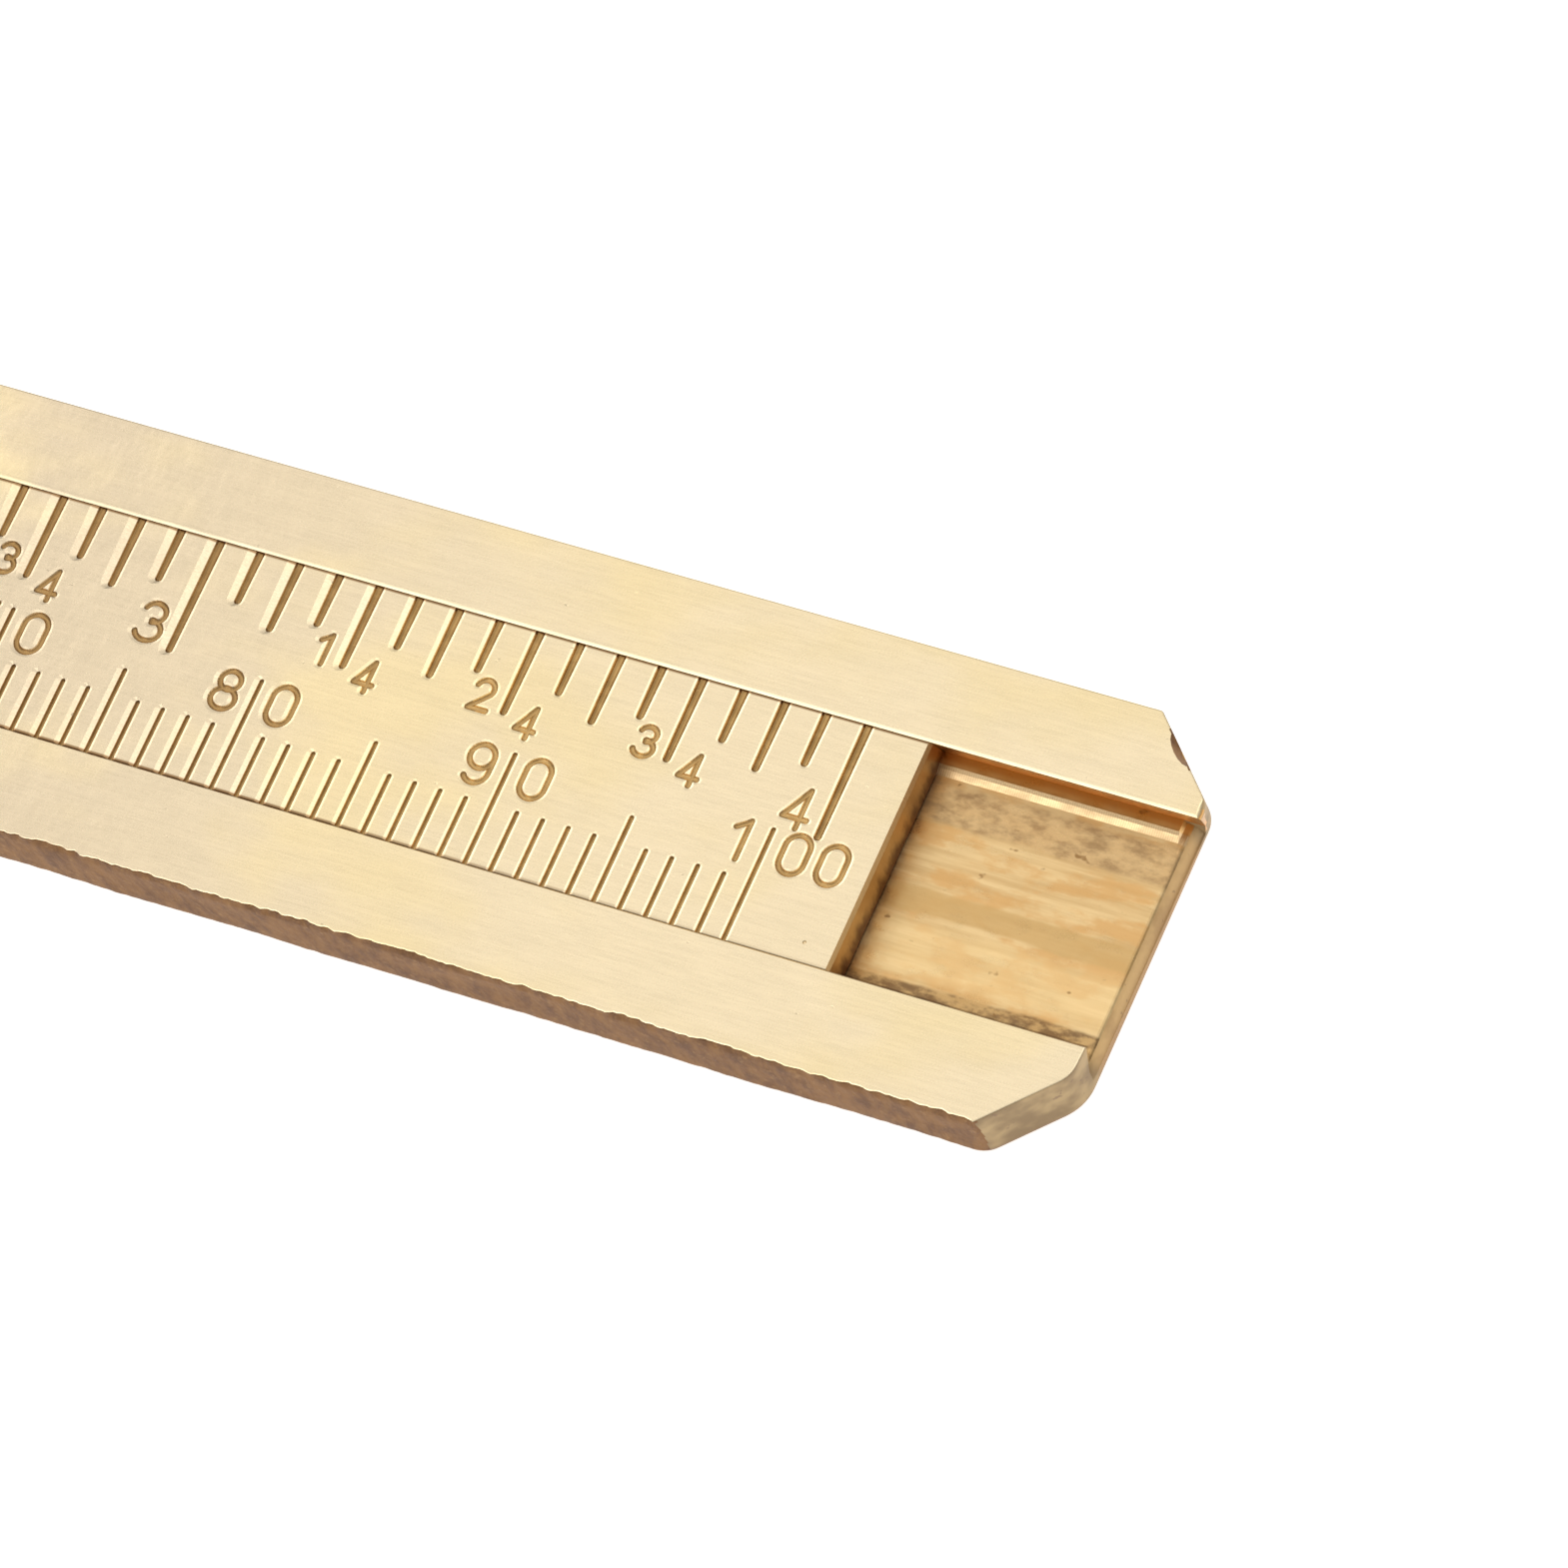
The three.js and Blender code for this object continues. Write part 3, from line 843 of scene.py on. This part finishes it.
FIXED_TONGUE = 0.95
SEAM = 0.02
PIN_HOLE_TOP = FLOOR + 0.5
INDEX_READINGS = (0.0, 5.0)
INDEX_LENGTH = 2.6

# The gouge in the upper tail chamfer's arris: (half length, reach, z) of each ring.
NICK_PLACE = Vector((BEAM_HIGH.x - 0.5 * UPPER_CHAMFER, HALF_WIDTH - 0.5 * UPPER_CHAMFER, TOP))
NICK_OUT = 0.01
NICK_RINGS = ((0.2, 0.05, TOP - 0.5), (0.6, 0.2, TOP - 0.16), (0.78, 0.3, TOP + 0.05))
NICK_STEPS = 16

# The channel floor's worn end.
EASE_STEPS = 8
EASE_LENGTH = 0.5
EASE_DROP = 0.45
EASE_POWER = 2.6
EASE_BACK = 0.12

ON_RAIL, ON_CHANNEL, ON_SAWN, ON_FILED = range(4)

# A rivet's domed end: (share of its radius, z) points, and the edge round them.
RIVET_LOW, RIVET_HIGH = box_mm("slide_rivet_1")
RIVET_RADIUS = (RIVET_HIGH.x - RIVET_LOW.x) / 2
RIVET_DOME = [(0.45, 0.004), (0.8, 0.012)]
RIVET_SINK = 0.025
RIVET_EDGE = 0.05


def tail_outline(end_high, rounds):
    """The body in plan, square at the jaw end and chamfered at the tail. end_high is the x of
    the upper rail's end; rounds are the four tail corners' radii, the lowest in y first."""
    left, right = BEAM_LOW.x, BEAM_HIGH.x
    return rounded([
        (left, -HALF_WIDTH, SQUARE_CORNER),
        (right - LOWER_CHAMFER, -HALF_WIDTH, rounds[0]),
        (right, -HALF_WIDTH + LOWER_CHAMFER, rounds[1]),
        (end_high, HALF_WIDTH - UPPER_CHAMFER - (end_high - right), rounds[2]),
        (right - UPPER_CHAMFER, HALF_WIDTH, rounds[3]),
        (left, HALF_WIDTH, SQUARE_CORNER),
    ])


def body_inset(point, normal, z):
    """The body's edges. The lower long edge is sawn: it wanders, and its upper arris is ragged.
    The face's arris at the upper rail's tail end is worn round."""
    worn = smooth_step(normal.x, 0.75, 1.0) * smooth_step(point.y, 3.0, 4.6)
    inset = round_inset(z, BACK_ROUND, FACE_ROUND + WORN_ROUND * worn)
    if normal.y < -0.9:
        wander = SAWN_WANDER * noise.noise(Vector((point.x * 0.25, z, 3.0)))
        chips = SAWN_WANDER * noise.noise(Vector((point.x * 1.4, z * 1.3, 7.0)))
        chips += SAWN_WANDER * noise.noise(Vector((point.x * 3.4, z * 2.0, 11.0)))
        at_face = smooth_step(z, TOP - 0.35, TOP)
        inset += wander + chips * (0.35 + 1.2 * at_face) + 0.06 * at_face
    return inset


def wall(mouth, side, z):
    """Where a dovetail wall stands at a height; side is -1 for the lower one, +1 for the upper."""
    return mouth + side * LEAN * (TOP - z)


def channel_section():
    """The (y, z) section of the body's channel, with the cutters' steps on its floor, a ramp up
    to the dovetail cutter's own track by each wall, and worn lips."""
    track = FLOOR + RAMP_RISE
    floor = [(wall(MOUTH_LOW, -1, track), track), (MOUTH_LOW + LOWER_TRACK, track)]
    floor += [(y, FLOOR - drop) for y, drop in FLOOR_STEPS]
    floor += RAMP
    floor += [(wall(MOUTH_HIGH, 1, track), track)]
    upper = [(MOUTH_HIGH + out, TOP - down) for out, down in UPPER_LIP]
    lower = [(MOUTH_LOW - out, TOP - down) for out, down in LOWER_LIP]
    return floor + upper + [(MOUTH_HIGH + PAST, TOP + PAST), (MOUTH_LOW - PAST, TOP + PAST)] + lower


def rivet_centre(node):
    low, high = box_mm(node)
    return (low + high) / 2


def rivet_hole(node):
    """The hole of a flush rivet, with a hair of seam round it."""
    centre = rivet_centre(node)
    radius = RIVET_RADIUS + SEAM
    return turned([(radius, -PAST), (radius, TOP + PAST)], centre.x, centre.y)


def rivet(node, body):
    """A flush rivet, dressed off with the faces: slightly domed ends inside a fine seam."""
    centre = rivet_centre(node)
    back = [(share * RIVET_RADIUS, z) for share, z in RIVET_DOME]
    back += [(RIVET_RADIUS - RIVET_EDGE, RIVET_SINK), (RIVET_RADIUS, RIVET_SINK + RIVET_EDGE)]
    face = [(radius, TOP - z) for radius, z in reversed(back)]
    piece = new_piece(f"{node}_head", *turned(back + face, centre.x, centre.y))
    finish_piece(piece, body, [RIVET], replaces=[node])


def index_marks():
    """The reading marks on both rails: the first for outside sizes, the second for inside."""
    marks = []
    for reading in INDEX_READINGS:
        radius = MM_LINE["radius"]
        upper = [(reading, MOUTH_HIGH - GAP), (reading, MOUTH_HIGH + INDEX_LENGTH)]
        lower = [(reading, MOUTH_LOW + GAP), (reading, MOUTH_LOW - INDEX_LENGTH)]
        marks.append(open_groove(upper, radius, radius, MM_LINE["depth"]))
        marks.append(open_groove(lower, radius, radius, MM_LINE["depth"]))
    return marks


def nick():
    """A small gouge in the face's arris on the upper tail chamfer."""
    along = Vector((1, -1)).normalized()
    out = Vector((1, 1)).normalized()
    middle = NICK_PLACE.xy + out * NICK_OUT
    rings = []
    for length, reach, z in NICK_RINGS:
        ring = []
        for step in range(NICK_STEPS):
            angle = 2 * math.pi * step / NICK_STEPS
            offset = along * (-length * math.sin(angle)) + out * (reach * math.cos(angle))
            place = middle + offset
            ring.append((place.x, place.y, z))
        rings.append(ring)
    return loft(rings)


def end_ease():
    """Worn away where the channel's floor meets the end face: a long round down to it."""
    right = BEAM_HIGH.x
    section = []
    for step in range(EASE_STEPS + 1):
        t = step / EASE_STEPS
        section.append((right - EASE_LENGTH * (1 - t), FLOOR - EASE_DROP * t ** EASE_POWER))
    top = FLOOR + RAMP_RISE + 0.04
    section += [(right + PAST, FLOOR - 2 * EASE_DROP), (right + PAST, top)]
    section.append((right - EASE_LENGTH - EASE_BACK, top))
    return crossbar(section, wall(MOUTH_LOW, -1, top), wall(MOUTH_HIGH, 1, top))


def beam_material(centre, normal):
    """Rails, channel, sawn edge or filed end, by where a face lies and looks."""
    inside = MOUTH_LOW - UNDERCUT < centre.y < MOUTH_HIGH + UNDERCUT
    chamfer = BEAM_HIGH.x - LOWER_CHAMFER
    if inside and centre.x > BEAM_HIGH.x - EASE_LENGTH and centre.z < FLOOR - 0.07:
        return ON_FILED
    if inside and 0.3 < centre.z < TOP - 0.08 and normal.x < 0.99 and normal.z > -0.9:
        return ON_CHANNEL
    if centre.y < -HALF_WIDTH + 0.3 and normal.y < -0.5 and centre.x < chamfer + 0.1:
        return ON_SAWN
    if (centre - NICK_PLACE).length < 0.9 and centre.z > TOP - 0.45 and normal.z < 0.98:
        return ON_SAWN
    if abs(normal.z) > 0.75:
        return ON_RAIL
    return ON_FILED if centre.x > chamfer - 0.1 or abs(normal.y) > 0.9 else ON_RAIL


def make_beam():
    left, right = BEAM_LOW.x, BEAM_HIGH.x
    face = tail_outline(right + UPPER_END_LEAN, FACE_CORNERS)
    back = divided(tail_outline(right - BACK_END_SHORT, BACK_CORNERS), face, EDGE_PITCH)
    face = divided(face, face, EDGE_PITCH)
    piece = new_piece("beam_body", *plate(back, face, BODY_LEVELS, body_inset))
    channel = prism(channel_section(), left - PAST, right + PAST)
    rebate = slab(
        (left - PAST, -HALF_WIDTH - PAST, -PAST),
        (FIXED_HIGH.x + GAP, FIXED_HIGH.y + GAP, FIXED_TONGUE + GAP),
    )
    pin = (PIN_LOW + PIN_HIGH) / 2
    pin_radius = (PIN_HIGH.x - PIN_LOW.x) / 2 + SEAM
    pin_hole = turned([(pin_radius, -PAST), (pin_radius, PIN_HOLE_TOP)], pin.x, pin.y)
    holes = [rivet_hole(f"fixed_jaw_rivet_{n}") for n in (1, 2)]
    cut(piece, [channel], [rebate, pin_hole], holes + index_marks(), [nick(), end_ease()])
    materials = [RAIL, CHANNEL, SAWN, FILED]
    finish_piece(piece, "body", materials, beam_material, ["beam"])


# ---- the slide ----

SLIDE_GAP = 0.02
SLIDE_ARRIS = 0.02
STOP_REACH = 0.2
TRAVEL = frame["joints"][0]["range_m"][1] / MM
LEAF_POCKET = 0.1
BEVEL_BACK = 0.13
BEVEL_PAST = 0.2
BEVEL_ABOVE = 0.05
BEVEL_BELOW = 0.50
PIT_PLACE = (102.78, -3.6)
PIT_PROFILE = [(0.03, TOP - 0.05), (0.09, TOP + 0.02)]
END_DEPTH = 0.3
ON_SCALE, ON_END = range(2)


def bar_section(gap, arris):
    """The slide's dovetail section, with a gap to the walls and broken upper edges."""
    low = FLOOR + GAP
    return [
        (wall(MOUTH_LOW, -1, low) + gap, low),
        (wall(MOUTH_HIGH, 1, low) - gap, low),
        (wall(MOUTH_HIGH, 1, TOP - arris) - gap, TOP - arris),
        (MOUTH_HIGH - gap - arris, TOP),
        (MOUTH_LOW + gap + arris, TOP),
        (wall(MOUTH_LOW, -1, TOP - arris) + gap, TOP - arris),
    ]


def end_bevel():
    """The bevel at the slide's tail end."""
    right = BAR_HIGH.x
    section = [
        (right - BEVEL_BACK, TOP + BEVEL_ABOVE),
        (right + BEVEL_PAST, TOP - BEVEL_BELOW),
        (right + BEVEL_PAST, TOP + BEVEL_ABOVE),
    ]
    return crossbar(section, BAR_LOW.y - PAST, BAR_HIGH.y + PAST)


def slide_material(centre, normal):
    """The scale, or the bare metal of the tail end."""
    return ON_END if normal.x > 0.5 and centre.x > BAR_HIGH.x - END_DEPTH else ON_SCALE


def tool_speck():
    """A small pit near the slide's tail end."""
    return turned(PIT_PROFILE, *PIT_PLACE, segments=10)


def make_slide():
    section = bar_section(SLIDE_GAP, SLIDE_ARRIS)
    piece = new_piece("slide_scale", *prism(section, BAR_LOW.x, BAR_HIGH.x))
    pin = (PIN_LOW + PIN_HIGH) / 2
    reach = (PIN_HIGH.x - PIN_LOW.x) / 2 + STOP_REACH
    groove = slab(
        (pin.x - reach, pin.y - reach, FLOOR - PAST),
        (pin.x + TRAVEL + reach, pin.y + reach, PIN_HIGH.z + STOP_REACH),
    )
    margin = Vector((2 * LEAF_POCKET, LEAF_POCKET, 0))
    pocket = slab(
        (LEAF_LOW.x - margin.x, LEAF_LOW.y - margin.y, FLOOR - PAST),
        (LEAF_HIGH.x + margin.x, LEAF_HIGH.y + margin.y, LEAF_HIGH.z + GAP),
    )
    under = [groove, pocket, end_bevel(), tool_speck()]
    holes = [rivet_hole(f"slide_rivet_{n}") for n in (1, 2)]
    mm_passes = passes_of(mm_lines(), mm_numerals())
    inch_passes = passes_of(inch_lines(), inch_numerals())
    cut(piece, under, holes, *mm_passes, *inch_passes)
    materials = [SCALE, SLIDE_END]
    finish_piece(piece, "slide", materials, slide_material, ["slide_bar"])


# ---- jaws ----

NIB_WIDTH = 2.5
NIB_LENGTH = 5.0
NIB_CROWN = 0.35
BLADE_HOLLOW = 0.3
FOOT_EDGE = 1.2
HEAD_CORNER = 1.6
SERRATIONS = 6
SERRATION_PITCH = 1.5
SERRATION_DEPTH = 0.5
SERRATION_LAND = 0.12
CURVE_STEPS = 16
CORNER_STEPS = 8
CROWN_STEPS = 5
TONGUE_OVERLAP = 0.6
JAW_ROUND = 0.1
JAW_LEVELS = [0.0, 0.015, 0.05, 0.1, TOP - 0.1, TOP - 0.05, TOP - 0.015, TOP]
ON_FACE, ON_SIDE = range(2)


def bend(start, control, end, steps):
    """A curve from start to end, drawn towards control; the start is left out."""
    points = []
    for step in range(1, steps + 1):
        t = step / steps
        points.append(start * (1 - t) ** 2 + control * 2 * t * (1 - t) + end * t * t)
    return points


def blade_points(face, towards, foot, top, tip):
    """From the back corner of a jaw's foot down to its nib and up the measuring face."""
    nib_back = face + towards * NIB_WIDTH
    nib_top = tip + NIB_LENGTH
    curve_top = top - FOOT_EDGE
    start = Vector((face + towards * foot, curve_top))
    control = Vector((
        nib_back + towards * BLADE_HOLLOW * (foot - NIB_WIDTH),
        curve_top - BLADE_HOLLOW * (curve_top - nib_top),
    ))
    points = [start] + bend(start, control, Vector((nib_back, nib_top)), CURVE_STEPS)
    low = Vector((nib_back, tip + NIB_CROWN))
    crown = Vector((nib_back - towards * NIB_CROWN, tip))
    points += [low] + bend(low, Vector((nib_back, tip)), crown, CROWN_STEPS)
    last = Vector((face + towards * NIB_CROWN, tip))
    crown = Vector((face, tip + NIB_CROWN))
    points += [last] + bend(last, Vector((face, tip)), crown, CROWN_STEPS)
    points.append(Vector((face, top)))
    return points


def anticlockwise(outline):
    area = sum(a.x * b.y - b.x * a.y for a, b in zip(outline, outline[1:] + outline[:1]))
    return outline if area > 0 else outline[::-1]


def jaw_inset(point, normal, z):
    return round_inset(z, JAW_ROUND, JAW_ROUND)


def jaw_material(centre, normal):
    return ON_FACE if abs(normal.z) > 0.5 else ON_SIDE


def make_fixed_jaw():
    top = -HALF_WIDTH - GAP
    foot = FIXED_HIGH.x - FIXED_LOW.x
    outline = [Vector((FIXED_HIGH.x, top))]
    outline += blade_points(FIXED_LOW.x, 1, foot, top, FIXED_LOW.y)
    outline = anticlockwise(outline)
    piece = new_piece("fixed_jaw_blade", *plate(outline, outline, JAW_LEVELS, jaw_inset))
    tongue = new_piece("tongue", *slab(
        (FIXED_LOW.x, top - TONGUE_OVERLAP, 0.0),
        (FIXED_HIGH.x, FIXED_HIGH.y, FIXED_TONGUE),
    ))
    apply_booleans(piece, "UNION", [tongue])
    cut(piece, [rivet_hole(f"fixed_jaw_rivet_{n}") for n in (1, 2)])
    finish_piece(piece, "body", [RAIL, FILED], jaw_material, ["fixed_jaw"])


def head_points():
    """The sliding jaw with its thumb head, which has a rounded corner and a serrated end."""
    left, right = HEAD_LOW.x, HEAD_HIGH.x
    high = HALF_WIDTH
    outline = [Vector((right, high)), Vector((left + HEAD_CORNER, high))]
    corner = Vector((left, high - HEAD_CORNER))
    outline += bend(outline[-1], Vector((left, high)), corner, CORNER_STEPS)
    bottom = -SERRATIONS * SERRATION_PITCH / 2
    for notch in range(SERRATIONS - 1, -1, -1):
        low = bottom + notch * SERRATION_PITCH
        outline.append(Vector((left, low + SERRATION_PITCH - SERRATION_LAND)))
        outline.append(Vector((left + SERRATION_DEPTH, low + SERRATION_PITCH / 2)))
        outline.append(Vector((left, low + SERRATION_LAND)))
    outline.append(Vector((left, -high)))
    outline += blade_points(right, -1, right - left, -high, HEAD_LOW.y)
    return outline


def make_sliding_jaw():
    outline = anticlockwise(head_points())
    piece = new_piece("sliding_jaw_head", *plate(outline, outline, JAW_LEVELS, jaw_inset))
    section = [
        (wall(MOUTH_LOW, -1, FLOOR), FLOOR),
        (wall(MOUTH_HIGH, 1, FLOOR), FLOOR),
        (wall(MOUTH_HIGH, 1, TOP + PAST), TOP + PAST),
        (wall(MOUTH_LOW, -1, TOP + PAST), TOP + PAST),
    ]
    slot = prism(section, BAR_LOW.x - GAP, HEAD_HIGH.x + PAST)
    cut(piece, [slot], [rivet_hole(f"slide_rivet_{n}") for n in (1, 2)])
    finish_piece(piece, "slide", [RAIL, FILED], jaw_material, ["sliding_jaw"])


def carried_over():
    """The CAD nodes whose shapes stay: the hidden pin, the leaf spring and its rivet."""
    looks = {"stop_pin": STEEL, "friction_spring": BRONZE, "spring_rivet": RIVET}
    for node, material in looks.items():
        mesh = frame["nodes"][node].data
        mesh.materials.clear()
        mesh.materials.append(material)


# ---- stage ----

CAMERA_PLACE = Vector((248.15, -128.75, 332.86))
CAMERA_TARGET = Vector((99.65, 1.71, TOP))
CAMERA_ROLL = -28.27
LENS = 259.84
SENSOR = 36.0
FLOOR_SIZE = 4.0
FLOOR_DROP = 0.00002
LIT_PLACE = Vector((0.09, 0.0, 0.0))
LIGHT_DISTANCE = 0.7
SKY_LOW = 0.56
SKY_HIGH = 0.58
SKY_FULL_AT = 0.8
SOFTBOXES = {
    "softbox_over": {"towards": (-0.15, 0.27, 0.95), "size": 1.0, "power": 1.38},
    "softbox_top": {"towards": (0.0, 0.34, 0.94), "size": 0.28, "power": 0.24},
    "softbox_front": {"towards": (-0.39, -0.26, 0.88), "size": 0.3, "power": 0.42},
    "softbox_side": {"towards": (-0.70, 0.34, 0.63), "size": 0.28, "power": 0.36},
}


def make_camera():
    data = bpy.data.cameras.new("camera")
    data.lens = LENS
    data.sensor_width = SENSOR
    data.clip_start = 0.01
    data.clip_end = 20.0
    camera = bpy.data.objects.new("camera", data)
    back = (CAMERA_PLACE - CAMERA_TARGET).normalized()
    level = Vector((0, 0, 1)).cross(back).normalized()
    rise = back.cross(level)
    roll = math.radians(CAMERA_ROLL)
    right = level * math.cos(roll) + rise * math.sin(roll)
    up = back.cross(right)
    turn = Matrix((right, up, back)).transposed()
    camera.matrix_world = Matrix.Translation(CAMERA_PLACE * MM) @ turn.to_4x4()
    bpy.context.scene.collection.objects.link(camera)
    bpy.context.scene.camera = camera


def make_floor():
    """A white table that is lit from within a little, so that shadows on it stay faint."""
    half = FLOOR_SIZE / 2
    corners = [(-half, -half, 0), (half, -half, 0), (half, half, 0), (-half, half, 0)]
    mesh = bpy.data.meshes.new("floor")
    mesh.from_pydata(corners, [], [(0, 1, 2, 3)])
    floor = bpy.data.objects.new("floor", mesh)
    floor.location.z = -FLOOR_DROP
    nodes = Nodes("floor_white")
    nodes.fill(nodes.shader.inputs["Base Color"], (0.8, 0.8, 0.8, 1.0))
    nodes.fill(nodes.shader.inputs["Roughness"], 0.9)
    nodes.fill(nodes.shader.inputs["Emission Color"], (1.0, 1.0, 1.0, 1.0))
    nodes.fill(nodes.shader.inputs["Emission Strength"], 0.8)
    mesh.materials.append(nodes.material)
    bpy.context.scene.collection.objects.link(floor)


def softbox(name, towards, size, power):
    """A square area light that looks at the part from a direction."""
    data = bpy.data.lights.new(name, "AREA")
    data.shape = "SQUARE"
    data.size = size
    data.energy = power
    light = bpy.data.objects.new(name, data)
    direction = Vector(towards).normalized()
    light.location = LIT_PLACE + direction * LIGHT_DISTANCE
    light.rotation_mode = "QUATERNION"
    light.rotation_quaternion = direction.to_track_quat("Z", "Y")
    bpy.context.scene.collection.objects.link(light)


def make_world():
    """A white sky that is a little brighter overhead than at the horizon."""
    world = bpy.data.worlds.new("studio")
    bpy.context.scene.world = world
    world.use_nodes = True
    tree = world.node_tree
    tree.nodes.clear()
    place = tree.nodes.new("ShaderNodeTexCoord")
    parts = tree.nodes.new("ShaderNodeSeparateXYZ")
    ramp = tree.nodes.new("ShaderNodeMapRange")
    ramp.interpolation_type = "SMOOTHSTEP"
    background = tree.nodes.new("ShaderNodeBackground")
    output = tree.nodes.new("ShaderNodeOutputWorld")
    tree.links.new(place.outputs["Generated"], parts.inputs[0])
    tree.links.new(parts.outputs["Z"], ramp.inputs["Value"])
    ramp.inputs["From Min"].default_value = 0.0
    ramp.inputs["From Max"].default_value = SKY_FULL_AT
    ramp.inputs["To Min"].default_value = SKY_LOW
    ramp.inputs["To Max"].default_value = SKY_HIGH
    tree.links.new(ramp.outputs["Result"], background.inputs["Strength"])
    tree.links.new(background.outputs["Background"], output.inputs["Surface"])


make_beam()
make_slide()
make_fixed_jaw()
make_sliding_jaw()
for number in (1, 2):
    rivet(f"fixed_jaw_rivet_{number}", "body")
    rivet(f"slide_rivet_{number}", "slide")
carried_over()
make_camera()
make_floor()
make_world()
for name, settings in SOFTBOXES.items():
    softbox(name, **settings)
bpy.context.scene.view_settings.view_transform = "Standard"
